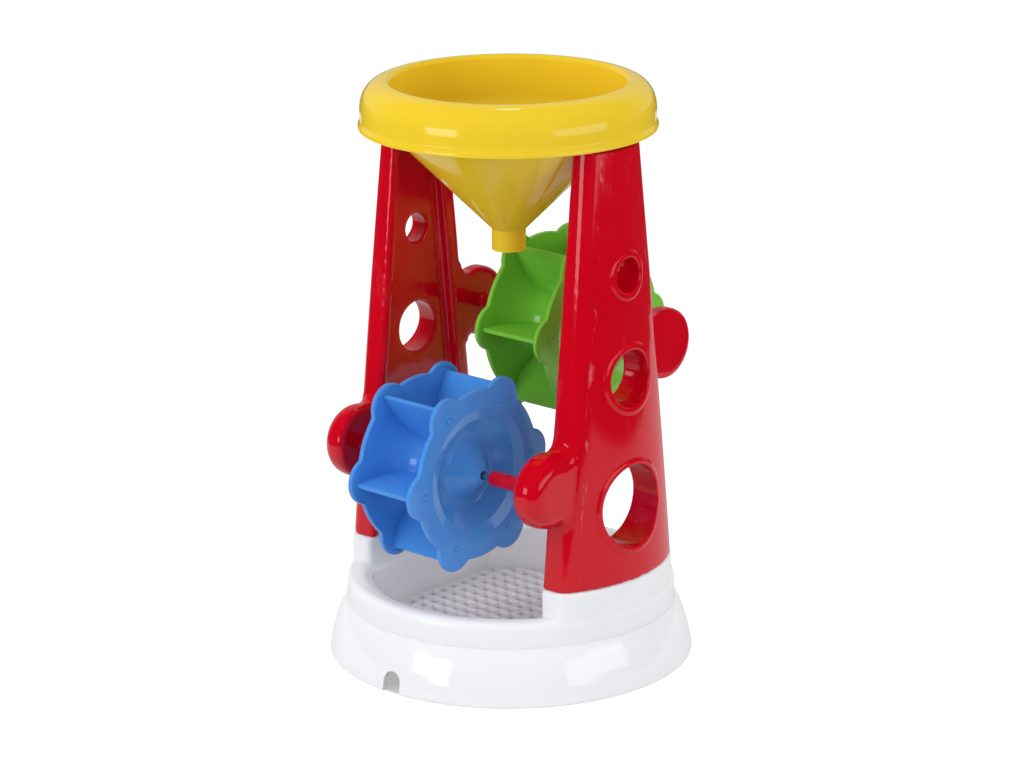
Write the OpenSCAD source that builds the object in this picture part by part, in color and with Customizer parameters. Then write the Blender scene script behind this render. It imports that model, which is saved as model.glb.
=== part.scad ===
// Sand wheel toy: a funnel on two columns pours sand over two bucket wheels
// into a sieve base. Millimetres, +Z up, X along the axles, front wheel at -Y.

/* [Base] */
// Height of the seats that carry the columns
seat_h = 55.5; // [50:0.5:65]
// How far the base ring stands out past the foot of the columns
ring_step = 1.7; // [1:0.1:4]
// How far the skirt flares out past the ring
skirt_flare = 9.3; // [4:0.1:16]
// Height of the flared skirt
skirt_h = 28.3; // [22:0.1:32]
// Height of the ring's crest
ring_h = 42; // [40:0.5:46]
// Width of the ring, from its outer wall to the edge of the sand well
ring_w = 13.7; // [12:0.1:18]
// Height of the well's edge, which is also the floor of the seats
well_edge_h = 38.7; // [36:0.1:39.5]
// Wall of the base
base_wall = 2.5; // [1.8:0.1:3.5]
// White ledge that shows in front of each column
seat_ledge = 3; // [2:0.1:5]
// White ledge that shows at each end of a column
seat_end = 2; // [1:0.1:4]
// Width of the drain notch in the skirt
notch_w = 11; // [6:0.5:20]
// Height of the drain notch
notch_h = 11; // [8:0.5:18]

/* [Sieve] */
// Height of the ledge that the sieve rests on
sieve_z = 12.4; // [8:0.1:18]
// Thickness of the sieve
sieve_t = 4; // [2.5:0.1:6]
// Pitch of the sieve's square holes
sieve_pitch = 8; // [6:0.25:12]
// Size of each hole
sieve_hole = 3.6; // [2:0.1:5]
// Width of the ledge under the sieve's edge
sieve_ledge = 3.4; // [2:0.1:6]

/* [Columns] */
// Radius of the columns' round outer face at the foot
foot_r = 84; // [80:0.5:92]
// Depth of a column at the foot, from its flat face to the middle of its round face
column_depth = 21.8; // [18:0.2:26]
// Width of a column at the foot
foot_w = 85; // [76:0.5:96]
// Inward lean of the round outer face, in degrees
column_lean = 2.9; // [2:0.1:3.2]
// Taper of each end face, in degrees
end_taper = 5.8; // [4:0.1:6.4]
// Wall of the columns
column_wall = 2.2; // [1.6:0.1:3]
// Inset of the plug under each column
plug_inset = 2.5; // [1.8:0.1:4]
// Radius of the lowest round window
low_window_r = 22.3; // [16:0.1:25]
// Height of the lowest window's centre above the seat
low_window_up = 38.5; // [34:0.5:46]
// Radius of the middle window
mid_window_r = 15.4; // [10:0.1:18]
// Height of the middle window's centre above the seat
mid_window_up = 104.5; // [98:0.5:112]
// Radius of the highest window
top_window_r = 9.9; // [8:0.1:13]
// Height of the highest window's centre above the seat
top_window_up = 157.5; // [148:0.5:168]
// How much smaller the windows are in the flat inner face
window_step = 1.5; // [0.8:0.1:2]
// Width of the raised lip round each window
window_lip = 2.4; // [1.5:0.1:4]
// Height of the raised lip
lip_rise = 0.8; // [0.4:0.1:2]

/* [Ears and axles] */
// Radius of the ears that hold the axles
ear_r = 18.7; // [14:0.1:22]
// How far the ears stand out past the column's outer corner
ear_proud = 0.2; // [0:0.1:2]
// Bevel of the ears' inner edge
ear_bevel = 1.5; // [1:0.1:3]
// Distance of the axles from the middle plane, front and back
axle_off = 46; // [44:0.5:50]
// Diameter of the steel axles
axle_d = 3.2; // [2.5:0.1:4.5]
// Diameter of the sleeves
sleeve_d = 8; // [6.5:0.1:10]
// Distance between the tips of a pair of sleeves
sleeve_gap = 56; // [48:0.5:70]

/* [Wheels] */
// Width of a wheel over its two discs
wheel_w = 40.6; // [34:0.2:44]
// Radius of a disc between its lobes
disc_r = 44.3; // [40:0.1:48]
// Radius of each lobe
lobe_r = 12; // [9:0.1:14]
// Radius of the circle through the lobes' centres
lobe_at = 39.5; // [36:0.1:42]
// Thickness of the discs and of the drum
disc_t = 2; // [1.4:0.1:3]
// Radius of the drum at the bottom of the buckets
drum_r = 18.5; // [16:0.1:22]
// Rounding between drum and discs
bucket_round = 10.5; // [6:0.1:12]
// Number of paddles and lobes
paddle_n = 6; // [5:1:8]
// Thickness of the paddles
paddle_t = 2.2; // [1.6:0.1:3]
// How far the paddles stay inside the tips of the lobes
paddle_inset = 4; // [2.5:0.1:8]
// Diameter of the pins that join the two halves of a wheel
pin_d = 3; // [2:0.1:4]
// Diameter of the collar round the hub's hole
hub_d = 8.6; // [7:0.1:12]
// How far the collar stands out of the disc
hub_proud = 0.7; // [0.3:0.1:2]
// Gap between the tips of the two wheels
wheel_gap = 5.5; // [4:0.1:12]
// Height of the front wheel's tips above the seats
wheel_lift = 1.5; // [1:0.1:8]
// Angle of the front wheel's first paddle, in degrees
front_turn = 3.8; // [0:0.1:60]
// Angle of the back wheel's first paddle, in degrees
back_turn = 55; // [0:0.1:60]

/* [Funnel] */
// Depth of the funnel from its crest to the end of its spout
funnel_depth = 88.3; // [82:0.1:100]
// Gap between the spout and the back wheel
spout_gap = 9; // [5:0.1:16]
// Outer diameter of the spout
spout_d = 17.5; // [14:0.1:24]
// Length of the straight spout
spout_l = 11; // [6:0.1:14]
// Wall of the funnel
funnel_wall = 2; // [1.5:0.1:2.4]
// Height of the rim's skirt, from its lower edge to the crest
rim_h = 23.5; // [20:0.1:26]
// Radius of the rim's rounded top
rim_round = 10.5; // [8:0.1:11]
// How far the rim's lower edge stands out
rim_bead = 1.1; // [0.5:0.1:2]
// How far the columns' tops lie below the crest
rim_seat = 8; // [7.5:0.1:11]

/* [Screws] */
// Diameter of the screws under the columns
screw_d = 3; // [2.5:0.1:4]
// Length of the screws' shanks
screw_l = 10; // [8:0.5:14]
// Diameter of the screws' heads
screw_head_d = 5.8; // [5:0.1:8]
// Distance of the two screws of a column from its middle
screw_off = 24; // [18:0.5:30]

/* [Fits] */
// Radial clearance of the wheels on their axles
run_fit = 0.06; // [0.02:0.01:0.1]
// Clearance between pieces that push together
push_fit = 0.1; // [0.05:0.05:0.3]
// Seam between the two shells of a column and the two halves of a wheel
seam = 0.1; // [0.05:0.05:0.3]

/* [Hidden] */
$fn = 96;
base_plate_top = well_edge_h;
column_in = foot_r - column_depth;
ring_r = foot_r + ring_step;
base_r = ring_r + skirt_flare;
well_r = ring_r - ring_w;
well_in = column_in - seat_ledge - base_wall - push_fit;
seat_r = foot_r + push_fit;
crest_r = ring_r - ring_w / 2;
tip_r = lobe_at + lobe_r;
half_w = wheel_w / 2;
disc_in = half_w - disc_t;
front_z = seat_h + tip_r + wheel_lift;
back_z = front_z + sqrt(pow(2 * tip_r + wheel_gap, 2) - pow(2 * axle_off, 2));
spout_r = spout_d / 2;
spout_z = back_z + sqrt(pow(tip_r + spout_gap, 2) - pow(axle_off - spout_r, 2));
total_h = spout_z + funnel_depth;
rim_z = total_h - rim_h;
column_top = total_h - rim_seat;
bowl_r = column_in - push_fit - funnel_wall;
rim_in_r = column_r(rim_z) + push_fit;
rim_out_r = rim_in_r + funnel_wall;
plug_l = seat_h - base_plate_top - push_fit;
axles = [[-axle_off, front_z], [axle_off, back_z]];
windows = [
    [low_window_r, seat_h + low_window_up],
    [mid_window_r, seat_h + mid_window_up],
    [top_window_r, seat_h + top_window_up]
];
screw_x = (column_in + plug_inset + foot_r - plug_inset) / 2;

// Radius of the columns' outer face and half their width at a height
function column_r(z) = foot_r - tan(column_lean) * (z - seat_h);
function column_half(z) = foot_w / 2 - tan(end_taper) * (z - seat_h);

// Outer face of an ear at a height, just past the column's outer corner there
function ear_face(z) = sqrt(pow(column_r(z), 2) - pow(column_half(z), 2)) + ear_proud;
function ear_plate(z) = ear_face(z) - column_wall;

// Points on an arc, from angle a0 to angle a1
function arc(centre, r, a0, a1, steps = 8) =
    [for (i = [0:steps]) let (a = a0 + (a1 - a0) * i / steps) centre + r * [cos(a), sin(a)]];

// Turns a shape drawn about Z so that its axis lies along X
module along_x(at = [0, 0, 0]) translate(at) rotate([90, 0, 90]) children();

// Plan of the sand well, smaller by an inset
module well_plan(inset = 0) {
    intersection() {
        circle(r = well_r - inset);
        square([2 * (well_in - inset), 3 * well_r], center = true);
    }
}

// Plan of the right column's foot, smaller by an inset on each side
module foot_plan(face, skin, end) {
    intersection() {
        circle(r = foot_r - skin);
        translate([column_in + face, -foot_w / 2 + end]) square([foot_r, foot_w - 2 * end]);
    }
}

// Half section of the flared skirt and the ring above it
module ring_section() {
    bow = skirt_h / 8;
    round_r = ring_h - well_edge_h + 3.2;
    round_c = [ring_r - round_r, ring_h - round_r];
    function skirt(t) = [base_r - skirt_flare * t - bow * 2 * t * (t - 1), skirt_h * t];
    outside = [for (i = [0:8]) skirt(i / 8)];
    inside = [for (i = [8:-1:0]) skirt(i / 8) - [base_wall, 0]];
    polygon(concat(
        outside,
        arc(round_c, round_r, 0, 90),
        [[well_r, well_edge_h], [well_r, well_edge_h - base_wall]],
        [[well_r + base_wall, well_edge_h - base_wall]],
        arc(round_c, round_r - base_wall, 90, 0),
        inside
    ));
}

// Wall, floor plate and seats inside the ring
module base_inside() {
    translate([0, 0, sieve_z - base_wall]) linear_extrude(base_plate_top - sieve_z + base_wall) difference() {
        well_plan(-base_wall);
        well_plan();
    }
    translate([0, 0, sieve_z - base_wall]) linear_extrude(base_wall) difference() {
        well_plan(-base_wall);
        well_plan(sieve_ledge);
    }
    translate([0, 0, base_plate_top - base_wall]) linear_extrude(base_wall) difference() {
        circle(r = crest_r);
        well_plan();
    }
    for (side = [0, 1]) mirror([side, 0, 0]) seat();
}

// Cup that takes the plug of the right column
module seat() {
    low = base_plate_top - base_wall;
    translate([0, 0, low]) linear_extrude(seat_h - low)
        foot_plan(-seat_ledge, foot_r - seat_r, -seat_end);
}

module base() {
    color("white") difference() {
        union() {
            rotate_extrude() ring_section();
            base_inside();
        }
        for (side = [0, 1]) mirror([side, 0, 0]) {
            inset = plug_inset - push_fit;
            translate([0, 0, base_plate_top]) linear_extrude(seat_h) foot_plan(inset, inset, inset);
            for (y = [-screw_off, screw_off])
                translate([screw_x, y, 0]) cylinder(h = seat_h, d = screw_d + 2 * push_fit);
        }
        translate([0, -base_r - 1, 0]) rotate([-90, 0, 0]) linear_extrude(skirt_flare + base_wall + 3) {
            translate([0, -notch_h + notch_w / 2]) circle(d = notch_w);
            translate([-notch_w / 2, -notch_h + notch_w / 2]) square([notch_w, notch_h]);
        }
    }
}

module sieve_floor() {
    reach = well_r - sieve_ledge - sieve_hole;
    nx = ceil(well_in / sieve_pitch);
    ny = ceil(well_r / sieve_pitch);
    color("white") translate([0, 0, sieve_z]) linear_extrude(sieve_t) difference() {
        well_plan(push_fit);
        for (i = [-nx:nx - 1], j = [-ny:ny - 1]) {
            x = (i + 0.5) * sieve_pitch;
            y = (j + 0.5) * sieve_pitch;
            if (norm([x, y]) < reach && abs(x) < well_in - sieve_ledge)
                translate([x, y]) square(sieve_hole, center = true);
        }
    }
}

// Tapering block that the right column's two shells are cut from
module column_block(skin = 0, face = 0, end = 0, low = seat_h, high = column_top) {
    w0 = column_half(low) - end;
    w1 = column_half(high) - end;
    intersection() {
        translate([0, 0, low]) cylinder(h = high - low, r1 = column_r(low) - skin, r2 = column_r(high) - skin);
        translate([column_in + face, -foot_w, low]) cube([foot_r, 2 * foot_w, high - low]);
        along_x() linear_extrude(2 * foot_r) polygon([[-w0, low], [w0, low], [w1, high], [-w1, high]]);
    }
}

// Hollow of the right column behind its flat face, open toward the cover
module column_hollow() {
    column_block(
        skin = -seam - lip_rise, face = column_wall, end = column_wall,
        low = seat_h + column_wall, high = column_top - column_wall
    );
}

// Room that the right column's cover takes at the column's round face
module cover_room() {
    low = seat_h - 1;
    high = column_top + 1;
    difference() {
        column_block(skin = -column_wall, face = column_wall, end = -seam, low = low, high = high);
        column_block(skin = column_wall + seam, face = -1, end = -1, low = low - 1, high = high + 1);
    }
}

// Ear on the flat face of the right column, with a bevelled edge
module ear(at, depth) {
    along_x([column_in, at.x, at.y]) {
        cylinder(h = ear_bevel, r1 = ear_r - ear_bevel, r2 = ear_r);
        translate([0, 0, ear_bevel]) cylinder(h = depth - ear_bevel, r = ear_r);
    }
}

// Web that ties an ear to the right column's end, from one x to another
module ear_web(at, x0, x1) {
    from = column_half(at.y) - 2 * column_wall;
    for (side = [0, 1]) mirror([0, side, 0])
        if ((at.x < 0) == (side == 1))
            translate([x0, from, at.y - ear_r / 2]) cube([x1 - x0, abs(at.x) - from, ear_r]);
}

// Ring under the right column's foot, with a boss for each screw
module foot_plug() {
    inset = plug_inset + column_wall;
    translate([0, 0, seat_h - plug_l]) {
        linear_extrude(plug_l + column_wall / 2) difference() {
            foot_plan(plug_inset, plug_inset, plug_inset);
            foot_plan(inset, inset, inset);
        }
        for (y = [-screw_off, screw_off]) translate([screw_x, y, 0]) cylinder(h = plug_l, d = 3 * screw_d);
    }
}

module right_frame() {
    function rim(a) = ear_plate(a.y) - seam;
    difference() {
        union() {
            difference() {
                union() {
                    column_block();
                    for (a = axles) {
                        ear(a, rim(a) - column_in);
                        ear_web(a, column_in + ear_bevel, rim(a));
                    }
                }
                column_hollow();
                cover_room();
                for (a = axles) {
                    along_x([column_in + column_wall, a.x, a.y]) cylinder(h = foot_r, r = ear_r - column_wall);
                    along_x([rim(a), a.x, a.y]) cylinder(h = foot_r, r = ear_r + seam);
                }
            }
            foot_plug();
            for (a = axles) along_x([column_in, a.x, a.y])
                cylinder(h = rim(a) - column_in, d = sleeve_d + 2 * column_wall);
        }
        for (w = windows) along_x([0, 0, w[1]]) cylinder(h = foot_r, r = w[0] - window_step);
        for (a = axles) along_x([0, a.x, a.y]) cylinder(h = 2 * foot_r, d = sleeve_d + 2 * push_fit);
        for (y = [-screw_off, screw_off])
            translate([screw_x, y, 0]) cylinder(h = base_plate_top + screw_l, d = screw_d + push_fit);
    }
}

module right_cover() {
    difference() {
        union() {
            difference() {
                column_block();
                column_block(skin = column_wall, face = -1, end = -1, low = seat_h - 1, high = column_top + 1);
            }
            for (w = windows) window_tube(w);
            for (a = axles) difference() {
                union() {
                    along_x([ear_plate(a.y), a.x, a.y]) cylinder(h = column_wall, r = ear_r);
                    ear_web(a, ear_plate(a.y), ear_face(a.y));
                }
                column_block(skin = column_wall, face = -1);
            }
        }
        for (w = windows) along_x([0, 0, w[1]]) cylinder(h = 2 * foot_r, r = w[0]);
    }
}

// Tube through the right column behind a window, with the raised lip on the outer face
module window_tube(w) {
    intersection() {
        along_x([column_in + column_wall + seam, 0, w[1]]) cylinder(h = foot_r, r = w[0] + column_wall);
        column_block();
    }
    intersection() {
        along_x([0, 0, w[1]]) cylinder(h = 2 * foot_r, r = w[0] + window_lip);
        difference() {
            column_block(skin = -lip_rise);
            column_block(skin = column_wall / 2, face = -1, end = -1, low = seat_h - 1, high = column_top + 1);
        }
    }
}

module left_column_frame() color("red") mirror([1, 0, 0]) right_frame();
module left_column_cover() color("red") mirror([1, 0, 0]) right_cover();
module right_column_frame() color("red") right_frame();
module right_column_cover() color("red") right_cover();

module column_screws() {
    under = base_plate_top - base_wall;
    color("silver") for (side = [-1, 1], y = [-screw_off, screw_off]) translate([side * screw_x, y, 0]) {
        translate([0, 0, under - screw_d / 2]) cylinder(h = screw_d / 2, d = screw_head_d);
        translate([0, 0, under]) cylinder(h = screw_l, d = screw_d);
    }
}

// Half section of the funnel with its hollow rim
module funnel_section() {
    round_c = [rim_out_r - rim_round, total_h - rim_round];
    slant = funnel_wall * (sqrt(2) - 1);
    cone_top = spout_z + spout_l + bowl_r + funnel_wall - spout_r;
    polygon(concat(
        [[rim_in_r, rim_z], [rim_out_r + rim_bead, rim_z], [rim_out_r + rim_bead, rim_z + 1.5 * rim_bead]],
        [[rim_out_r, rim_z + 3.5 * rim_bead]],
        arc(round_c, rim_round, 0, 90, 10),
        [[bowl_r + 1, total_h - 1.2], [bowl_r, total_h - 2.3]],
        [[bowl_r, cone_top + slant], [spout_r - funnel_wall, spout_z + spout_l + slant]],
        [[spout_r - funnel_wall, spout_z], [spout_r, spout_z], [spout_r, spout_z + spout_l]],
        [[bowl_r + funnel_wall, cone_top], [bowl_r + funnel_wall, round_c.y + rim_round - funnel_wall - 0.6]],
        arc(round_c, rim_round - funnel_wall, 90, 0, 10)
    ));
}

// Ribs in the rim that rest on the columns' tops
module rim_ribs() {
    top = total_h - funnel_wall / 2;
    for (side = [0, 1], y = [-12, 0, 12]) mirror([side, 0, 0]) intersection() {
        translate([bowl_r, y - funnel_wall / 2, column_top]) cube([foot_r, funnel_wall, top - column_top]);
        rotate_extrude() polygon(concat(
            [[bowl_r + funnel_wall / 2, column_top - 1], [rim_in_r + funnel_wall / 2, column_top - 1]],
            arc([rim_out_r - rim_round, total_h - rim_round], rim_round - funnel_wall / 2, 20, 90),
            [[bowl_r + funnel_wall / 2, top - 0.5]]
        ));
    }
}

module funnel() {
    color("gold") {
        rotate_extrude() funnel_section();
        rim_ribs();
    }
}

module axle(at) {
    l = 2 * (ear_plate(at.y) - 2 * column_wall - push_fit);
    color("silver") along_x([-l / 2, at.x, at.y]) cylinder(h = l, d = axle_d);
}

module front_axle() axle(axles[0]);
module back_axle() axle(axles[1]);

// Sleeve of the right column, with a blind bore for the axle's end
module sleeve(at) {
    tip = sleeve_gap / 2;
    end = ear_plate(at.y) - seam - push_fit;
    stop = ear_plate(at.y) - 2 * column_wall;
    round_r = sleeve_d / 8;
    color("red") difference() {
        along_x([0, at.x, at.y]) rotate_extrude() polygon(concat(
            [[0, tip]], arc([sleeve_d / 2 - round_r, tip + round_r], round_r, -90, 0, 4),
            [[sleeve_d / 2, end], [0, end]]
        ));
        along_x([tip - 1, at.x, at.y]) cylinder(h = stop - tip + 1, d = axle_d + 2 * run_fit);
    }
}

module front_left_sleeve() mirror([1, 0, 0]) sleeve(axles[0]);
module front_right_sleeve() sleeve(axles[0]);
module back_left_sleeve() mirror([1, 0, 0]) sleeve(axles[1]);
module back_right_sleeve() sleeve(axles[1]);

// Outline of a wheel's disc
module disc_plan() {
    circle(r = disc_r);
    for (i = [0:paddle_n - 1]) rotate(360 * i / paddle_n) translate([lobe_at, 0]) circle(r = lobe_r);
}

// Half section of a wheel's dished shell: drum wall, bucket rounding, dish and domed hub
module shell_section() {
    bore_r = axle_d / 2 + run_fit;
    hub_r = hub_d / 2;
    hub_end = half_w + hub_proud;
    mouth_r = (bore_r + hub_r) / 2;
    dish_r = drum_r - disc_t;
    round_c = [drum_r + bucket_round, disc_in - bucket_round];
    low = round_c.y;
    high = half_w - disc_t / 2;
    function dome(t) = [hub_r + (dish_r - hub_r) * cos(t), low + (high - low) * sin(t)];
    polygon(concat(
        [[drum_r, seam / 2]],
        arc(round_c, bucket_round, 180, 90),
        [[round_c.x + disc_t, disc_in], [round_c.x + disc_t, half_w]],
        arc(round_c, bucket_round + disc_t, 90, 170),
        [for (t = [15:15:90]) dome(t)],
        [[hub_r, hub_end], [mouth_r, hub_end], [mouth_r, hub_end - hub_r / 2], [bore_r, hub_end - hub_r / 2]],
        [[bore_r, seam / 2], [hub_r, seam / 2]],
        [for (t = [90:-15:0]) dome(t) - [0, disc_t]],
        [[dish_r, seam / 2]]
    ));
}

// One dished disc, on the side of the wheel that faces +Z before it is turned
module wheel_shell() {
    rotate_extrude() shell_section();
    translate([0, 0, disc_in]) linear_extrude(disc_t) difference() {
        disc_plan();
        circle(r = drum_r + bucket_round + disc_t / 2);
    }
}

// Room of the buckets on the +Z side, grown into the shell
module bucket_room(grow) {
    round_c = [drum_r + bucket_round, disc_in - bucket_round];
    rotate_extrude() polygon(concat(
        [[drum_r - grow, 0]],
        arc(round_c, bucket_round + grow, 180, 90),
        [[tip_r + 1, disc_in + grow], [tip_r + 1, 0]]
    ));
}

// Paddles with their pins, as long as the room between the two shells
module paddles() {
    for (i = [0:paddle_n - 1]) rotate(360 * i / paddle_n) {
        intersection() {
            translate([0, -paddle_t / 2, -half_w]) cube([tip_r - paddle_inset, paddle_t, wheel_w]);
            union() {
                bucket_room(-seam);
                mirror([0, 0, 1]) bucket_room(disc_t / 2);
            }
        }
        translate([lobe_at, 0, disc_in - 2 * pin_d]) cylinder(h = 2 * pin_d + disc_t + pin_d / 5, d = pin_d);
    }
}

module wheel_body() {
    mirror([0, 0, 1]) wheel_shell();
    paddles();
}

module wheel_cap() {
    difference() {
        wheel_shell();
        for (i = [0:paddle_n - 1]) rotate(360 * i / paddle_n)
            translate([lobe_at, 0, 0]) cylinder(h = wheel_w, d = pin_d + 2 * push_fit);
    }
}

// Puts a wheel on its axle, turned to the angle of its first paddle
module on_axle(at, turn) along_x([0, at.x, at.y]) rotate(turn) children();

module blue_wheel_body() color("dodgerblue") on_axle(axles[0], front_turn) wheel_body();
module blue_wheel_cap() color("dodgerblue") on_axle(axles[0], front_turn) wheel_cap();
module green_wheel_body() color("limegreen") on_axle(axles[1], back_turn) wheel_body();
module green_wheel_cap() color("limegreen") on_axle(axles[1], back_turn) wheel_cap();

base();
sieve_floor();
left_column_frame();
left_column_cover();
right_column_frame();
right_column_cover();
column_screws();
funnel();
front_axle();
back_axle();
front_left_sleeve();
front_right_sleeve();
back_left_sleeve();
back_right_sleeve();
blue_wheel_body();
blue_wheel_cap();
green_wheel_body();
green_wheel_cap();
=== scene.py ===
from math import asin, atan2, ceil, cos, pi, radians, sin, sqrt, tan

import bmesh
import bpy
from mathutils import Matrix, Quaternion, Vector, noise


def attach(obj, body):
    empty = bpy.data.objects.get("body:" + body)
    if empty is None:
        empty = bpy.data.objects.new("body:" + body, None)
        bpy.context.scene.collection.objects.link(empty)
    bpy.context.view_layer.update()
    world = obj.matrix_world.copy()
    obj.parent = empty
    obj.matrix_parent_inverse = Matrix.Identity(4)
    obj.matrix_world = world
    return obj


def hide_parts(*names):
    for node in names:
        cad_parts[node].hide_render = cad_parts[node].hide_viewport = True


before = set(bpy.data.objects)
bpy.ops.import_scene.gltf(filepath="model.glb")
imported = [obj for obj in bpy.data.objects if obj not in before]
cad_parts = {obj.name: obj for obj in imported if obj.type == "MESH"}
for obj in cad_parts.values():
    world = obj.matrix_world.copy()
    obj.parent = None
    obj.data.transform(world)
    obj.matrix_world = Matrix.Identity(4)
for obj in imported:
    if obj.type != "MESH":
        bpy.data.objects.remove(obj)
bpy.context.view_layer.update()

scene = bpy.context.scene
scene.view_settings.view_transform = "Standard"
mm = 0.001
print("frame loaded:", len(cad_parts), "nodes")


# camera at the photo's viewing angle, all in metres and degrees
shot = {"target": (0, 0, 0.14143), "distance": 1.85556, "azimuth": 42.0, "elevation": 16.69,
        "lens": 126.56, "shiftX": 0.0022, "shiftY": 0.0005, "roll": -0.33}


def awayFrom(azimuth, elevation):
    a = radians(azimuth)
    e = radians(elevation)
    return Vector((sin(a) * cos(e), -cos(a) * cos(e), sin(e)))


def setCamera():
    lens = bpy.data.cameras.new("camera")
    lens.sensor_width = 36
    lens.lens = shot["lens"]
    lens.shift_x = shot["shiftX"]
    lens.shift_y = shot["shiftY"]
    eye = bpy.data.objects.new("camera", lens)
    back = awayFrom(shot["azimuth"], shot["elevation"])
    eye.location = Vector(shot["target"]) + back * shot["distance"]
    eye.rotation_mode = "QUATERNION"
    level = (-back).to_track_quat("-Z", "Y")
    eye.rotation_quaternion = level @ Quaternion((0, 0, 1), radians(shot["roll"]))
    scene.collection.objects.link(eye)
    scene.camera = eye


setCamera()
print("camera set")


# shader maths: a wire is a socket that takes part in sums
class Wire:
    def __init__(self, tree, socket=None):
        self.tree = tree
        self.socket = socket

    def make(self, kind, settings=None, inputs=None, output=0):
        node = self.tree.nodes.new(kind)
        for key, value in (settings or {}).items():
            setattr(node, key, value)
        for key, value in (inputs or {}).items():
            if isinstance(value, Wire):
                self.tree.links.new(value.socket, node.inputs[key])
            else:
                node.inputs[key].default_value = value
        return Wire(self.tree, node.outputs[output] if node.outputs else None)

    def maths(self, operation, first, second=0.0):
        return self.make("ShaderNodeMath", {"operation": operation}, {0: first, 1: second})

    def __add__(self, other):
        return self.maths("ADD", self, other)

    def __radd__(self, other):
        return self.maths("ADD", other, self)

    def __sub__(self, other):
        return self.maths("SUBTRACT", self, other)

    def __rsub__(self, other):
        return self.maths("SUBTRACT", other, self)

    def __mul__(self, other):
        return self.maths("MULTIPLY", self, other)

    def __rmul__(self, other):
        return self.maths("MULTIPLY", other, self)

    def over(self, edge, width):
        # soft step: 0 below the edge, 1 above it
        return self.make("ShaderNodeMapRange", {"interpolation_type": "SMOOTHSTEP"},
                         {"Value": self, "From Min": edge - width, "From Max": edge + width})


def colour(r, g, b):
    # a colour as it reads on screen, made linear
    shares = [c / 255 for c in (r, g, b)]
    return tuple(s / 12.92 if s < 0.0404 else ((s + 0.055) / 1.055) ** 2.4 for s in shares) + (1,)


def newTree(name):
    material = bpy.data.materials.new(name)
    material.use_nodes = True
    material.node_tree.nodes.clear()
    return material, Wire(material.node_tree)


def mixed(tree, factor, first, second):
    return tree.make("ShaderNodeMix", {"data_type": "RGBA"}, {0: factor, 6: first, 7: second}, output=2)


def noiseOf(tree, place, scale, detail=2.0, stretch=(1, 1, 1), rough=0.5):
    mapped = tree.make("ShaderNodeMapping", {}, {"Vector": place, "Scale": stretch})
    return tree.make("ShaderNodeTexNoise", {}, {"Vector": mapped, "Scale": scale, "Detail": detail,
                                                 "Roughness": rough})


# moulded plastic: a drifting body colour, flow streaks, fine orange peel, light handling marks and, where a
# look gives them, marks of painted shade or painted highlight
plastic = {"speckScale": 900.0, "speckEdge": (0.5, 0.1), "rubScale": 60.0, "rubStretch": (1, 1, 0.35),
           "rubRough": 0.65, "rubEdge": (0.62, 0.05), "rubGloss": 0.12, "cloudShare": 0.7,
           "streakShare": 0.5, "cloudGloss": 0.06, "markShare": 0.55, "markGloss": 0.25, "bumpDepth": 0.001}


def mouldedPlastic(name, look):
    material, tree = newTree(name)
    place = tree.make("ShaderNodeTexCoord", output=3)
    cloud = noiseOf(tree, place, look["cloudScale"], 3.0)
    streak = noiseOf(tree, place, look["streakScale"], 2.0, look["streakStretch"])
    peel = noiseOf(tree, place, look["peelScale"], 1.0)
    speck = noiseOf(tree, place, plastic["speckScale"], 2.0)
    rub = noiseOf(tree, place, plastic["rubScale"], 5.0, plastic["rubStretch"], plastic["rubRough"])
    rubbed = rub.over(*plastic["rubEdge"]) * speck.over(*plastic["speckEdge"])
    drift = (cloud - 0.5) * plastic["cloudShare"] + (streak - 0.5) * plastic["streakShare"] + 0.5
    body = mixed(tree, drift, look["deep"], look["light"])
    body = mixed(tree, rubbed * look["wear"], body, look["worn"])
    gloss = look["roughness"] + (cloud - 0.5) * plastic["cloudGloss"] + rubbed * plastic["rubGloss"]
    height = peel * look["peelHeight"] + streak * look["streakHeight"]
    bump = tree.make("ShaderNodeBump", {}, {"Strength": 1.0, "Distance": plastic["bumpDepth"],
                                            "Height": height})
    # marks given by a look paint light and shade: rub wear with a painted highlight on the columns' corners,
    # painted shade in the sieve's pits
    if "marksAndPaintedLight" in look:
        marks = look["marksAndPaintedLight"](tree, place)
        body = mixed(tree, marks * plastic["markShare"], body, look.get("markColour", look["worn"]))
        gloss = gloss + marks * plastic["markGloss"]
    shader = tree.make("ShaderNodeBsdfPrincipled", {}, {
        "Base Color": body, "Roughness": gloss, "Normal": bump, "IOR": look["ior"],
        "Subsurface Weight": look.get("glow", 0.0), "Subsurface Radius": (1.0, 1.0, 1.0),
        "Subsurface Scale": look.get("glowDepth", 0.001)})
    tree.make("ShaderNodeOutputMaterial", {}, {"Surface": shader})
    return material


# drawn steel rod: fine lines along the rod
steel = {"lineScale": 2200.0, "lineStretch": (0.02, 1, 1), "cloudScale": 120.0, "lineGloss": 0.15,
         "cloudGloss": 0.1, "bumpStrength": 0.4, "bumpDepth": 0.00002}


def drawnSteel(name, look):
    material, tree = newTree(name)
    place = tree.make("ShaderNodeTexCoord", output=3)
    lines = noiseOf(tree, place, steel["lineScale"], 2.0, steel["lineStretch"])
    cloud = noiseOf(tree, place, steel["cloudScale"], 2.0)
    body = mixed(tree, lines, look["deep"], look["light"])
    gloss = look["roughness"] + (lines - 0.5) * steel["lineGloss"] + (cloud - 0.5) * steel["cloudGloss"]
    bump = tree.make("ShaderNodeBump", {}, {"Strength": steel["bumpStrength"],
                                            "Distance": steel["bumpDepth"], "Height": lines})
    shader = tree.make("ShaderNodeBsdfPrincipled", {}, {
        "Base Color": body, "Roughness": gloss, "Metallic": 1.0, "Normal": bump})
    tree.make("ShaderNodeOutputMaterial", {}, {"Surface": shader})
    return material


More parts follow.
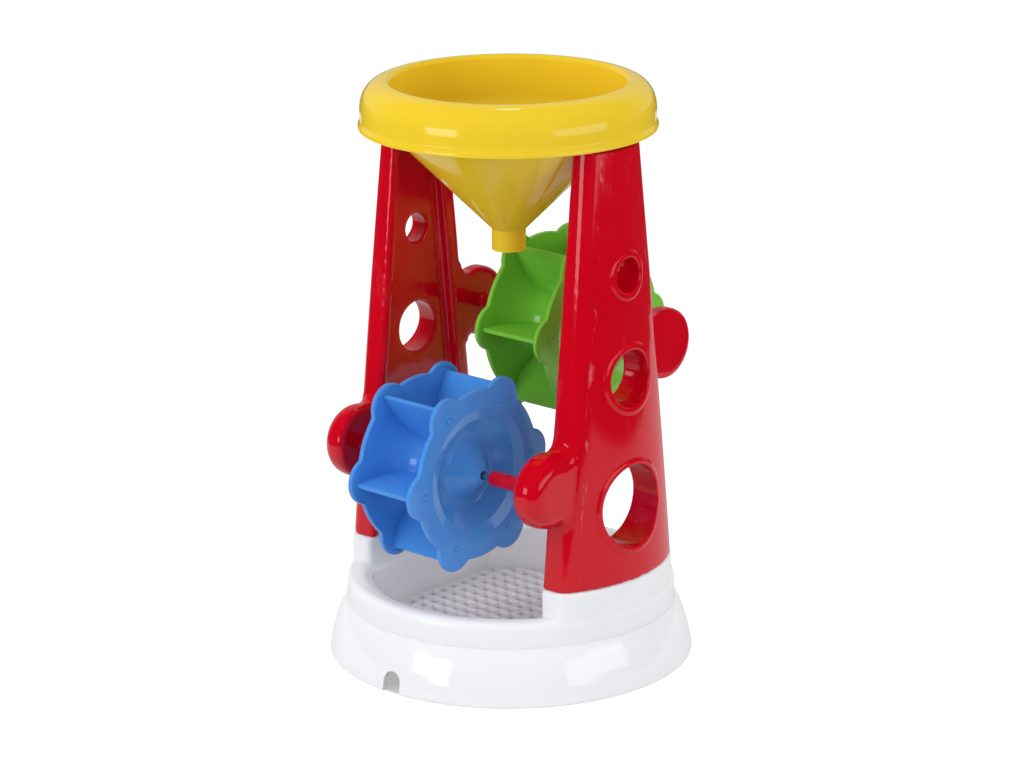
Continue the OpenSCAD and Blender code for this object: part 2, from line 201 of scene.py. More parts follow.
column = {"inner": 58.9, "panel": 64.6, "frontBorder": 6.0, "backBorder": 10.0, "innerRound": 4.5,
          "foot": 55.5, "top": 283.0, "footRadius": 84.6, "footHalf": 42.9, "backLean": 0.0514,
          "taper": tan(radians(5.9)), "frontRound": 7.4, "backRound": 4.0, "bulge": (1.0, 0.0055),
          "faceFrom": 6.0, "deepRoot": 14.0, "levels": 14, "cut": (50.0, 100.0),
          "spigot": (276.9, 72.5), "narrowFrom": 265.0, "cone": (9.1, 224.7),
          "frontEar": {"centre": (-46.0, 109.2), "radius": 19.2, "lowFillet": 3.5, "highFillet": 6.0,
                       "outer": 74.1, "outerEdge": 8.4, "innerEdge": 3.2, "root": 4.5},
          "backEar": {"centre": (44.3, 166.4), "radius": 18.5, "lowFillet": 3.5, "highFillet": 8.0,
                      "outer": 69.0, "outerEdge": 2.4, "innerEdge": 3.0, "root": 7.0},
          "windows": ({"z": 94.0, "inside": 21.3, "outside": 21.4, "lip": 24.8, "rise": 0.0, "shift": 0.4},
                      {"z": 160.0, "inside": 13.4, "outside": 14.6, "lip": 18.9, "rise": 0.8, "shift": 1.5},
                      {"z": 213.0, "inside": 7.6, "outside": 8.9, "lip": 13.0, "rise": 1.2, "shift": 1.5}),
          "lipHeight": 0.9, "lipSteps": 120, "cutSteps": 96, "voxel": 0.75, "smoothing": 4,
          "wave": 0.10, "waveScale": (0.045, 0.014)}


def columnRadius(z):
    return column["footRadius"] - column["backLean"] * (z - column["foot"])


def columnFace(y, z):
    # how far out the round face stands
    full, slope = column["bulge"]
    bulge = full + slope * (z - column["foot"])
    return sqrt(columnRadius(z) ** 2 - y * y) + bulge * (1 - (y / columnHalf(z)) ** 2)


def columnHalf(z):
    return column["footHalf"] - column["taper"] * (z - column["foot"])


# pale marks along the column's outer corners, where the two shells meet: partly rubbing wear on the seam,
# partly a painted highlight standing in for the light caught by the corner rounding
rubAndHighlight = {"seam": 0.0075, "edge": (0.0011, 0.0008), "scale": 260.0, "stretch": (1, 1, 0.25), "rough": 0.7,
          "breaks": (0.6, 0.05)}


def cornerRubAndHighlight(tree, place):
    y = tree.make("ShaderNodeSeparateXYZ", {}, {"Vector": place}, output=1)
    z = tree.make("ShaderNodeSeparateXYZ", {}, {"Vector": place}, output=2)
    half = column["footHalf"] * mm - (z - column["foot"] * mm) * column["taper"]
    inside = half - y.maths("ABSOLUTE", y)
    off = inside - rubAndHighlight["seam"]
    nearSeam = 1 - off.maths("ABSOLUTE", off).over(*rubAndHighlight["edge"])
    broken = noiseOf(tree, place, rubAndHighlight["scale"], 4.0, rubAndHighlight["stretch"], rubAndHighlight["rough"])
    return nearSeam * broken.over(*rubAndHighlight["breaks"])


# painted shade: a mauve-grey darkening deep in the sieve's pits, broken by a fine grain, stands in for the
# shade that falls inside them
pitShade = {"level": (0.0145, 0.0011), "reach": (0.0718, 0.0003), "scale": 700.0, "least": 0.6, "grain": 0.5}


def pitPaintedShade(tree, place):
    z = tree.make("ShaderNodeSeparateXYZ", {}, {"Vector": place}, output=2)
    away = tree.make("ShaderNodeVectorMath", {"operation": "LENGTH"}, {0: place}, output=1)
    deep = 1 - z.over(*pitShade["level"])
    grain = noiseOf(tree, place, pitShade["scale"], 3.0)
    return deep * (1 - away.over(*pitShade["reach"])) * (pitShade["least"] + grain * pitShade["grain"])


finishes = {
    "white_plastic": mouldedPlastic("gloss_white_plastic", {
        "deep": colour(241, 242, 246), "light": colour(245, 246, 250), "worn": colour(225, 224, 226),
        "roughness": 0.06, "wear": 0.15, "cloudScale": 18.0,
        "streakScale": 30.0, "streakStretch": (1, 1, 0.3),
        # the white's marks are painted shade deep in the sieve's pits, in this mauve-grey
        "peelScale": 260.0, "peelHeight": 0.01, "streakHeight": 0.02, "ior": 1.5, "marksAndPaintedLight": pitPaintedShade,
        "markColour": colour(160, 149, 158), "glow": 0.15, "glowDepth": 0.003}),
    "red_plastic": mouldedPlastic("gloss_red_plastic", {
        "deep": colour(198, 0, 23), "light": colour(210, 2, 31), "worn": colour(226, 110, 122),
        "roughness": 0.08, "wear": 0.10, "cloudScale": 22.0,
        "streakScale": 130.0, "streakStretch": (1, 1, 0.05),
        # the red's marks are pale rubbing wear on the corners, partly a painted highlight there
        "peelScale": 220.0, "peelHeight": 0.012, "streakHeight": 0.035, "ior": 1.42, "marksAndPaintedLight": cornerRubAndHighlight}),
    "yellow_plastic": mouldedPlastic("gloss_yellow_plastic", {
        "deep": colour(235, 199, 41), "light": colour(245, 211, 52), "worn": colour(225, 190, 90),
        "roughness": 0.09, "wear": 0.12, "cloudScale": 20.0,
        "streakScale": 40.0, "streakStretch": (1, 1, 0.3),
        "peelScale": 240.0, "peelHeight": 0.015, "streakHeight": 0.04, "ior": 1.45}),
    "blue_plastic": mouldedPlastic("semi_gloss_blue_plastic", {
        "deep": colour(67, 137, 219), "light": colour(81, 154, 235), "worn": colour(120, 170, 225),
        "roughness": 0.11, "wear": 0.10, "cloudScale": 26.0,
        "streakScale": 60.0, "streakStretch": (0.3, 1, 1),
        "peelScale": 300.0, "peelHeight": 0.02, "streakHeight": 0.03, "ior": 1.43}),
    "green_plastic": mouldedPlastic("semi_gloss_green_plastic", {
        "deep": colour(119, 197, 63), "light": colour(133, 214, 75), "worn": colour(140, 190, 95),
        "roughness": 0.11, "wear": 0.10, "cloudScale": 26.0,
        "streakScale": 60.0, "streakStretch": (0.3, 1, 1),
        "peelScale": 300.0, "peelHeight": 0.02, "streakHeight": 0.03, "ior": 1.49}),
    "axle_steel": drawnSteel("drawn_steel", {
        "deep": colour(150, 156, 160), "light": colour(205, 210, 214), "roughness": 0.28}),
    "screw_steel": drawnSteel("plated_screw_steel", {
        "deep": colour(140, 140, 138), "light": colour(190, 190, 186), "roughness": 0.35}),
}
print("finishes made:", len(finishes))


# modelling helpers, all in millimetres until a piece is finished
alongX = Matrix(((0, 0, 1), (1, 0, 0), (0, 1, 0))).to_4x4()


def softCorners(corners, stepAngle=9.0):
    # corners are (across, along, rounding); gives the outline with each corner rounded
    outline = []
    for i, (x, y, rounding) in enumerate(corners):
        here = Vector((x, y))
        before = Vector(corners[i - 1][:2]) - here
        after = Vector(corners[(i + 1) % len(corners)][:2]) - here
        half = before.angle(after) / 2
        if rounding < 0.01 or half > radians(89.5):
            outline.append(here)
            continue
        back = min(rounding / tan(half), 0.48 * before.length, 0.48 * after.length)
        radius = back * tan(half)
        start = here + before.normalized() * back
        centre = here + (before.normalized() + after.normalized()).normalized() * (radius / sin(half))
        first = atan2(start.y - centre.y, start.x - centre.x)
        end = here + after.normalized() * back
        turn = atan2(end.y - centre.y, end.x - centre.x) - first
        turn = (turn + pi) % (2 * pi) - pi
        steps = max(2, ceil(abs(turn) / radians(stepAngle)))
        for k in range(steps + 1):
            a = first + turn * k / steps
            outline.append(centre + Vector((cos(a), sin(a))) * radius)
    return outline


def arc(centre, radius, start, end, steps):
    angles = [radians(start + (end - start) * k / steps) for k in range(steps + 1)]
    return [Vector((centre[0] + radius * cos(a), centre[1] + radius * sin(a))) for a in angles]


def spun(bm, outline, steps):
    # turns a closed outline of (radius, height) points round Z
    verts = [bm.verts.new((p[0], 0, p[1])) for p in outline]
    edges = [bm.edges.new(pair) for pair in zip(verts, verts[1:] + verts[:1])]
    bmesh.ops.spin(bm, geom=verts + edges, cent=(0, 0, 0), axis=(0, 0, 1), angle=2 * pi, steps=steps,
                   use_merge=True)
    bmesh.ops.remove_doubles(bm, verts=bm.verts, dist=0.0005)


def prism(bm, outline, low, high):
    # a flat outline of (x, y) points raised from low to high
    face = bm.faces.new([bm.verts.new((p[0], p[1], low)) for p in outline])
    raised = bmesh.ops.extrude_face_region(bm, geom=[face], use_keep_orig=True)["geom"]
    lifted = [v for v in raised if isinstance(v, bmesh.types.BMVert)]
    bmesh.ops.translate(bm, vec=(0, 0, high - low), verts=lifted)


def roundEdges(bm, edges, offset, segments):
    bmesh.ops.bevel(bm, geom=edges, offset=offset, offset_type="OFFSET", affect="EDGES", segments=segments,
                    profile=0.5, material=-1, clamp_overlap=True)


def holdMesh(bm, name):
    bmesh.ops.recalc_face_normals(bm, faces=bm.faces)
    mesh = bpy.data.meshes.new(name)
    bm.to_mesh(mesh)
    bm.free()
    holder = bpy.data.objects.new(name, mesh)
    scene.collection.objects.link(holder)
    return holder


def applied(holder):
    # the holder's mesh with its modifiers worked in; the holder goes
    view = bpy.context.evaluated_depsgraph_get()
    mesh = bpy.data.meshes.new_from_object(holder.evaluated_get(view))
    bm = bmesh.new()
    bm.from_mesh(mesh)
    bpy.data.objects.remove(holder)
    bpy.data.meshes.remove(mesh)
    return bm


def combined(bm, tool, operation):
    # cuts, joins or crosses one closed mesh with another
    holder = holdMesh(bm, "work")
    other = holdMesh(tool, "tool")
    step = holder.modifiers.new("combine", "BOOLEAN")
    step.operation = operation
    step.solver = "EXACT"
    step.object = other
    result = applied(holder)
    bpy.data.objects.remove(other)
    return result


def melted(bm, voxel, smoothing, keep=None):
    # one skin over all the solids, with its edges softened
    holder = holdMesh(bm, "work")
    step = holder.modifiers.new("skin", "REMESH")
    step.mode = "VOXEL"
    step.voxel_size = voxel
    skin = applied(holder)
    for k in range(smoothing):
        moving = [v for v in skin.verts if keep is None or not keep(v.co)]
        bmesh.ops.smooth_vert(skin, verts=moving, factor=0.5,
                              use_axis_x=True, use_axis_y=True, use_axis_z=True)
    return skin


def added(bm, other):
    # puts a second shell into the same piece
    mesh = bpy.data.meshes.new("part")
    bmesh.ops.recalc_face_normals(other, faces=other.faces)
    other.to_mesh(mesh)
    other.free()
    bm.from_mesh(mesh)
    bpy.data.meshes.remove(mesh)


def finishPiece(bm, name, body, slotName, nodes, sharp=38.0, recalc=True):
    if recalc:
        bmesh.ops.recalc_face_normals(bm, faces=bm.faces)
    bmesh.ops.scale(bm, vec=(mm, mm, mm), verts=bm.verts)
    mesh = bpy.data.meshes.new(name)
    bm.to_mesh(mesh)
    bm.free()
    mesh.shade_smooth()
    mesh.set_sharp_from_angle(angle=radians(sharp))
    mesh.materials.append(finishes[slotName])
    piece = bpy.data.objects.new(name, mesh)
    scene.collection.objects.link(piece)
    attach(piece, body)
    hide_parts(*nodes)
    print("piece", name, len(mesh.polygons), "faces")


# the columns: a soft plate with two ears, a round back, three windows with raised lips
def earSide(side, ear):
    # outline of one end of the column from foot to top, in (y, z), with the ear blended in
    d = Vector((-side * column["taper"], 1)).normalized()
    out = Vector((side, column["taper"])).normalized()
    middle = Vector(ear["centre"])
    radius = ear["radius"]
    base = Vector((side * columnHalf(middle.y), middle.y))
    points = [Vector((side * columnHalf(column["foot"]), column["foot"]))]
    joins = []
    for fillet, pick in ((ear["lowFillet"], -1), (ear["highFillet"], 1)):
        q = base + out * fillet - middle
        b = q.dot(d)
        s = -b + pick * sqrt(b * b - q.dot(q) + (radius + fillet) ** 2)
        hub = base + out * fillet + d * s
        joins.append((hub, hub - out * fillet, middle + (hub - middle) * radius / (radius + fillet)))

    def sweep(centre, start, end, through, steps):
        a0 = atan2(start.y - centre.y, start.x - centre.x)
        turn = atan2(end.y - centre.y, end.x - centre.x) - a0
        turn = (turn + pi) % (2 * pi) - pi
        if through and turn * through < 0:
            turn += 2 * pi * through
        r = (start - centre).length
        return [centre + Vector((cos(a0 + turn * k / steps), sin(a0 + turn * k / steps))) * r
                for k in range(steps + 1)]

    low, high = joins
    points += sweep(low[0], low[1], low[2], 0, 6)
    points += sweep(middle, low[2], high[2], side, 36)[1:-1]
    points += sweep(high[0], high[2], high[1], 0, 6)
    points.append(Vector((side * columnHalf(column["top"]), column["top"])))
    return points


def drawnIn(outline, inset):
    # the outline moved inward, point by point
    area = sum(outline[k - 1].x * p.y - p.x * outline[k - 1].y for k, p in enumerate(outline))
    hand = 1 if area > 0 else -1
    moved = []
    for k, p in enumerate(outline):
        ahead = outline[(k + 1) % len(outline)] - outline[k - 1]
        moved.append(p + Vector((-ahead.y, ahead.x)).normalized() * inset * hand)
    return moved


def earTab(side, ear):
    # a pillow-edged tab with its ear, its root some way inside the column
    outline = earSide(side, ear)[1:-1]
    if side < 0:
        outline.reverse()
    depth = ear["outer"] - column["inner"]
    inner = ear["innerEdge"]
    outer = ear["outerEdge"]
    turns = [radians(15 * k) for k in range(7)]
    levels = [(inner * (1 - sin(t)), inner * (1 - cos(t))) for t in turns]
    levels += [(outer * (1 - cos(t)), depth - outer + outer * sin(t)) for t in turns]
    bm = bmesh.new()
    rings = []
    for inset, height in levels:
        reach = ear["root"] if height < column["panel"] - column["inner"] + 0.6 else column["deepRoot"]
        root = [Vector((p.x - side * reach, p.y)) for p in (outline[-1], outline[0])]
        rings.append([bm.verts.new((p.x, p.y, height)) for p in drawnIn(outline + root, inset)])
    for lower, upper in zip(rings, rings[1:]):
        for k in range(len(lower)):
            bm.faces.new((lower[k - 1], lower[k], upper[k], upper[k - 1]))
    bm.faces.new(rings[0])
    bm.faces.new(rings[-1])
    bmesh.ops.transform(bm, matrix=Matrix.Translation((column["inner"], 0, 0)) @ alongX, verts=bm.verts)
    return bm


def columnPlan(z):
    # the column's outline at one height: two borders and a sunk panel inside, a round face outside
    half = columnHalf(z)
    soft = column["frontRound"]
    tight = column["backRound"]
    edge = column["innerRound"]
    near = column["inner"]
    panel = column["panel"]
    front = -half + column["frontBorder"]
    back = half - column["backBorder"]
    cx = sqrt((columnRadius(z) - soft) ** 2 - (half - soft) ** 2)
    swing = atan2(half - soft, cx) * 180 / pi
    farX = sqrt((columnRadius(z) - tight) ** 2 - (half - tight) ** 2)
    farSwing = atan2(half - tight, farX) * 180 / pi
    faceFrom = near + column["faceFrom"]
    plan = softCorners([(near, front, 0.8), (near, -half, edge), (faceFrom + 2, -half, 0)], 15)[:-1]
    plan = [p for p in plan if p.x < faceFrom]
    plan += arc((cx, -half + soft), soft, -90, -swing, 7)
    plan += arc((0, 0), columnRadius(z), -swing, farSwing, 28)[1:-1]
    plan += arc((farX, half - tight), tight, farSwing, 90, 7)
    plan += arc((near + edge, half - edge), edge, 90, 180, 6)
    # the steps from the two borders down to the panel
    plan += [Vector((near, back + 1)), Vector((near + 0.5, back + 0.2)), Vector((panel - 1, back - 1.2)),
             Vector((panel, back - 2.4)), Vector((panel, front + 2.4)), Vector((panel - 1, front + 1.2))]
    full, slope = column["bulge"]
    bulge = full + slope * (z - column["foot"])
    for p in plan:
        if p.x > faceFrom:
            p.x += bulge * max(0, 1 - (p.y / half) ** 2)
    return plan


def columnBody():
    bm = bmesh.new()
    rings = []
    levels = column["levels"]
    for k in range(levels + 1):
        z = column["foot"] + (column["top"] - column["foot"]) * k / levels
        verts = [bm.verts.new((p.x, p.y, z)) for p in columnPlan(z)]
        rings.append([bm.edges.new(pair) for pair in zip(verts, verts[1:] + verts[:1])])
    for lower, upper in zip(rings, rings[1:]):
        bmesh.ops.bridge_loops(bm, edges=lower + upper)
    bmesh.ops.holes_fill(bm, edges=rings[0] + rings[-1], sides=0)
    return bm


def windowPlace(bm, window):
    # stands a part turned round Z in a window, leaning as the window does
    bmesh.ops.transform(bm, matrix=Matrix.Translation((0, 0, window["z"])) @ alongX, verts=bm.verts)
    for v in bm.verts:
        out = (v.co.x - column["panel"]) / (columnRadius(window["z"]) - column["panel"])
        v.co.y += window["shift"] * out
        v.co.z += window["rise"] * (1 - out)


def makeColumns():
    skin = columnBody()
    for window in column["windows"]:
        inside = window["inside"]
        outside = window["outside"]
        slope = (outside - inside) / (columnRadius(window["z"]) - column["panel"])
        low, high = column["cut"]
        near = inside + slope * (low - column["panel"])
        far = inside + slope * (high - column["panel"])
        cutter = bmesh.new()
        spun(cutter, [(0, low), (near, low), (far, high), (0, high)], column["cutSteps"])
        windowPlace(cutter, window)
        skin = combined(skin, cutter, "DIFFERENCE")
    added(skin, earTab(-1, column["frontEar"]))
    added(skin, earTab(1, column["backEar"]))
    skin = melted(skin, column["voxel"], column["smoothing"])
    for v in skin.verts:
        # slow waves of a moulded skin, long in the upright direction
        across, up = column["waveScale"]
        at = Vector((v.co.x * across, v.co.y * across, v.co.z * up))
        v.co += v.normal * column["wave"] * noise.noise(at)
    for v in skin.verts:
        # the top narrows to fit between the funnel's cone and the rim's bead
        throat, throatLevel = column["cone"]
        coneRadius = throat + (v.co.z - throatLevel)
        if v.co.z > column["narrowFrom"] and v.co.x ** 2 + v.co.y ** 2 < coneRadius ** 2:
            v.co.x = sqrt(coneRadius ** 2 - v.co.y ** 2)
        level, reach = column["spigot"]
        if v.co.z > level and v.co.x ** 2 + v.co.y ** 2 > reach ** 2:
            v.co.x = sqrt(reach ** 2 - v.co.y ** 2)
    for window in column["windows"]:
        tall = column["lipHeight"]
        bore = window["outside"] - 0.1
        wide = window["lip"]
        section = [(bore, -4.0, 0), (bore, tall, 1.3), (wide - 1.3, tall * 0.9, 0.7),
                   (wide, tall * 0.35, 0.4), (wide + 0.2, -2.6, 0)]
        lip = bmesh.new()
        spun(lip, softCorners(section, 12), column["lipSteps"])
        bmesh.ops.transform(lip, matrix=Matrix.Translation((0, window["shift"], window["z"])) @ alongX,
                            verts=lip.verts)
        for v in lip.verts:
            v.co.x += columnFace(v.co.y, v.co.z)
        added(skin, lip)
    left = skin.copy()
    bmesh.ops.scale(left, vec=(-1, 1, 1), verts=left.verts)
    bmesh.ops.reverse_faces(left, faces=left.faces)
    finishPiece(skin, "right_column", "stand", "red_plastic", ("right_column_frame", "right_column_cover"),
                recalc=False)
    finishPiece(left, "left_column", "stand", "red_plastic", ("left_column_frame", "left_column_cover"),
                recalc=False)


makeColumns()


# the base: flared skirt, ring with a sloping top, two seats and the sand well
base = {"skirt": ((95.0, 0.0), (94.2, 4.5), (93.2, 9.0), (92.0, 13.5), (90.7, 17.7), (89.2, 21.8),
                  (87.5, 25.6), (85.7, 28.6)),
        "wall": 2.5, "skirtSteps": 256, "ringRadius": 85.6, "ringFoot": 26.0, "ringSteps": 180,
        "crest": 42.0, "crestRadius": 79.0, "crestSoft": 6.0,
        "wellRadius": 72.0, "wellEdge": 38.7, "wellHalf": 56.6, "wellFloor": 9.9, "sieveLedge": (12.4, 3.4),
        "deckIn": 4.0, "deckUnder": 34.0, "liningTop": 36.0, "hollowTop": 36.2,
        "ledge": 59.2, "seatRadius": 85.0, "seatEnd": 44.6, "seatTop": 55.5,
        "seatCorner": 3.5, "seatRim": 1.2,
        "notchWidth": 11.0, "notchHeight": 11.0, "notchTurn": 1.6, "notchCut": (80.0, 100.0),
        "voxel": 1.05, "smoothing": 1, "softAbove": 28.0}


def roundPlan(radius):
    # a whole circle of 144 points
    return arc((0, 0), radius, 0, 357.5, 143)


def wellOutline(inset):
    # the well's plan: a circle with two straight sides
    radius = base["wellRadius"] - inset
    half = base["wellHalf"] - inset
    swing = asin(half / radius) * 180 / pi
    back = arc((0, 0), radius, 90 - swing, 90 + swing, 48)
    front = arc((0, 0), radius, 270 - swing, 270 + swing, 48)
    return back + front


def seatOutline(side):
    x = base["ledge"]
    y = base["seatEnd"]
    radius = base["seatRadius"]
    swing = asin(y / radius) * 180 / pi
    plan = [Vector((x, -y)), *arc((0, 0), radius, -swing, swing, 24), Vector((x, y))]
    return [Vector((side * p.x, p.y)) for p in plan]


def makeBase():
    wall = base["wall"]
    ring = bmesh.new()
    r = base["ringRadius"]
    foot = base["ringFoot"]
    soft = base["crestSoft"]
    section = [(r, foot, 0), (r - 0.3, base["crest"], soft),
               (base["crestRadius"] - 2, base["crest"] - 0.4, soft),
               (base["wellRadius"], base["wellEdge"], 0.8), (base["wellRadius"], foot, 0)]
    spun(ring, softCorners(section, 10), base["ringSteps"])
    plate = bmesh.new()
    prism(plate, roundPlan(r - base["deckIn"]), base["deckUnder"], base["wellEdge"])
    top = combined(ring, plate, "UNION")
    for side in (-1, 1):
        seat = bmesh.new()
        prism(seat, seatOutline(side), base["deckUnder"], base["seatTop"])
        upright = [e for e in seat.edges if abs(e.verts[0].co.z - e.verts[1].co.z) > 1
                   and e.calc_face_angle(0) > 0.6]
        roundEdges(seat, upright, base["seatCorner"], 5)
        rim = [e for e in seat.edges if all(v.co.z > base["seatTop"] - 0.01 for v in e.verts)]
        roundEdges(seat, rim, base["seatRim"], 3)
        top = combined(top, seat, "UNION")
    lining = bmesh.new()
    prism(lining, wellOutline(-wall), base["wellFloor"], base["liningTop"])
    top = combined(top, lining, "UNION")
    ledgeTop, ledgeWidth = base["sieveLedge"]
    well = bmesh.new()
    prism(well, wellOutline(0), ledgeTop, 60)
    top = combined(top, well, "DIFFERENCE")
    drop = bmesh.new()
    prism(drop, wellOutline(ledgeWidth), 0, 20)
    top = combined(top, drop, "DIFFERENCE")
    hollow = bmesh.new()
    prism(hollow, roundPlan(r - wall), -5, base["hollowTop"])
    core = bmesh.new()
    prism(core, wellOutline(-wall), -6, 40)
    top = combined(top, combined(hollow, core, "DIFFERENCE"), "DIFFERENCE")
    top = melted(top, base["voxel"], base["smoothing"], lambda co: co.z < base["softAbove"])
    skirt = bmesh.new()
    outer = list(base["skirt"])
    inner = [(x - wall, z) for x, z in reversed(base["skirt"])]
    section = [(x, z, 0.5 if z == 0 else 3.0) for x, z in outer + inner]
    spun(skirt, softCorners(section, 6), base["skirtSteps"])
    notch = bmesh.new()
    wide = base["notchWidth"] / 2
    arch = [Vector((-wide, -2)), Vector((wide, -2)), *arc((0, base["notchHeight"] - wide), wide, 0, 180, 20)]
    prism(notch, arch, *base["notchCut"])
    bmesh.ops.rotate(notch, matrix=Matrix.Rotation(radians(90), 3, "X"), verts=notch.verts)
    bmesh.ops.rotate(notch, matrix=Matrix.Rotation(radians(base["notchTurn"]), 3, "Z"), verts=notch.verts)
    skirt = combined(skirt, notch, "DIFFERENCE")
    added(top, skirt)
    finishPiece(top, "base_shell", "stand", "white_plastic", ("base",), recalc=False)


makeBase()


# the sieve: square pits that narrow to small holes
sieve = {"pitch": 8.0, "cells": 18, "top": 16.4, "thickness": 4.6, "holeSize": 1.8, "pitDepth": 3.4,
         "gap": 0.1}


def makeSieve():
    bm = bmesh.new()
    bmesh.ops.create_grid(bm, x_segments=sieve["cells"], y_segments=sieve["cells"],
                          size=sieve["pitch"] * sieve["cells"] / 2)
    bmesh.ops.translate(bm, vec=(0, 0, sieve["top"]), verts=bm.verts)
    cells = list(bm.faces)
    bmesh.ops.inset_individual(bm, faces=cells, thickness=(sieve["pitch"] - sieve["holeSize"]) / 2)
    bmesh.ops.delete(bm, geom=cells, context="FACES_ONLY")
    raised = bmesh.ops.extrude_face_region(bm, geom=list(bm.faces), use_keep_orig=True)["geom"]
    under = [v for v in raised if isinstance(v, bmesh.types.BMVert)]
    bmesh.ops.translate(bm, vec=(0, 0, -sieve["thickness"]), verts=under)
    for v in bm.verts:
        offGrid = abs(v.co.x / sieve["pitch"] - round(v.co.x / sieve["pitch"]))
        if v.co.z > sieve["top"] - 0.1 and offGrid > 0.05:
            v.co.z -= sieve["pitDepth"]
    plan = bmesh.new()
    prism(plan, wellOutline(sieve["gap"]), 5, 30)
    bm = combined(bm, plan, "INTERSECT")
    finishPiece(bm, "sieve_grid", "stand", "white_plastic", ("sieve_floor",), sharp=20)


makeSieve()


# the funnel: hollow rounded rim, bowl, cone and spout
funnel = {"bead": ((72.9, 277.9, 0.4), (76.1, 277.9, 0.6), (76.0, 279.7, 0.6), (75.0, 282.2, 1.6)),
          "rim": {"centre": (61.6, 286.7), "across": 13.4, "up": 15.3, "fullness": 2.25},
          "rimWall": 2.0, "rimSteps": 20,
          "bowl": ((59.9, 300.2, 0.9), (60.1, 279.2, 5.0), (6.75, 225.6, 2.5), (6.75, 213.7, 0.4),
                   (8.75, 213.7, 0.5), (8.75, 224.7, 0.8), (62.1, 278.0, 3.0), (62.1, 299.0, 1.0)),
          "steps": 256}


def makeFunnel():
    bm = bmesh.new()
    across = funnel["rim"]["across"]
    up = funnel["rim"]["up"]
    wall = funnel["rimWall"]
    cx, cz = funnel["rim"]["centre"]
    steps = funnel["rimSteps"]
    turns = [radians(90 * k / steps) for k in range(steps + 1)]
    power = 2 / funnel["rim"]["fullness"]
    swell = [(max(cos(t), 0) ** power, sin(t) ** power) for t in turns]
    outside = [(cx + across * x, cz + up * z, 0) for x, z in swell]
    inside = [(cx + (across - wall) * x, cz + (up - wall) * z, 0) for x, z in reversed(swell[:-1])]
    section = [*funnel["bead"], *outside, *funnel["bowl"], *inside]
    spun(bm, softCorners(section, 7), funnel["steps"])
    finishPiece(bm, "sand_funnel", "stand", "yellow_plastic", ("funnel",))


makeFunnel()


# where the two axles lie, in (y, z)
axles = {"front": (-46.0, 108.5), "back": (46.0, 166.018)}


# sleeves that stand out of the ears, with a rounded tip and a small flare at the root
sleeve = {"radius": 4.0, "bore": 1.66, "tip": 29.2, "root": 58.6, "end": 66.0, "flare": 1.3, "steps": 48}


def makeSleeves():
    for level, (y, z) in axles.items():
        for side, hand in ((1, "right"), (-1, "left")):
            r = sleeve["radius"]
            section = [(sleeve["bore"], sleeve["tip"], 0.3), (r - 0.1, sleeve["tip"], 1.3),
                       (r, sleeve["root"] - sleeve["flare"], 1.0),
                       (r + sleeve["flare"], sleeve["root"] + 0.2, 0), (r, sleeve["end"], 0),
                       (sleeve["bore"], sleeve["end"], 0)]
            bm = bmesh.new()
            spun(bm, softCorners(section, 12), sleeve["steps"])
            turn = Matrix.Diagonal((side, 1, 1, 1)) @ alongX
            bmesh.ops.transform(bm, matrix=Matrix.Translation((0, y, z)) @ turn, verts=bm.verts)
            finishPiece(bm, "%s_%s_axle_sleeve" % (level, hand), "stand", "red_plastic",
                        ("%s_%s_sleeve" % (level, hand),))


makeSleeves()


# the wheels: two lobed, dished discs, a drum, six flat paddles and six pins
wheel = {"halfWidth": 20.3, "discIn": 18.3, "discRadius": 44.3, "flatFrom": 41.0,
         "lobeRadius": 12.0, "lobeAt": 39.5, "lobes": 6,
         "drum": 18.5, "bucket": {"centre": (37.5, 2.8), "across": 19.0, "up": 15.5},
         "dish": ((34.2, 20.3, 0.8), (28.4, 18.3, 1.0), (17.2, 10.2, 5.0), (4.2, 21.6, 0.5)),
         "edgeRound": 0.6, "lip": (1.1, 0.5), "lobeStart": 38.0, "cornerSoft": 0.9,
         "hub": 3.8, "hubEnd": 23.2, "bore": 1.66, "mouth": 2.2, "mouthDepth": 2.2,
         "paddle": 2.2, "paddleTip": 47.5, "paddleRound": 0.45, "bury": 0.8,
         "pin": 1.35, "pinRise": 0.55, "pinDome": ((1.0, 0.5), (0.86, 0.2), (0.5, 0.04)),
         "pinSteps": 24, "pinSeat": (1.9, 2.15, 0.5),
         "steps": 360, "seam": 0.05, "widen": 1.054,
         "places": {"blue_wheel": ("front", -1.1, 3.8), "green_wheel": ("back", 1.7, 58.0)}}


def lobedRadius(a):
    # radius of the disc's outline at an angle from a lobe's middle, with softened inner corners
    step = 2 * pi / wheel["lobes"]
    off = (a + step / 2) % step - step / 2
    plain = wheel["discRadius"]
    reach = wheel["lobeRadius"] ** 2 - (wheel["lobeAt"] * sin(off)) ** 2
    if reach <= 0:
        return plain
    lobe = wheel["lobeAt"] * cos(off) + sqrt(reach)
    soft = wheel["cornerSoft"]
    gap = (lobe - plain) / soft
    if gap > 4:
        return lobe
    if gap < -4:
        return plain
    return plain + (lobe - plain) / 2 + sqrt(((lobe - plain) / 2) ** 2 + (soft / 4) ** 2)


def quarter(curve, start, end, steps):
    # points of an ellipse, its centre and half sizes in (radius, along the axle)
    angles = [radians(start + (end - start) * k / steps) for k in range(steps + 1)]
    x, y = curve["centre"]
    return [Vector((x + curve["across"] * cos(a), y + curve["up"] * sin(a))) for a in angles]


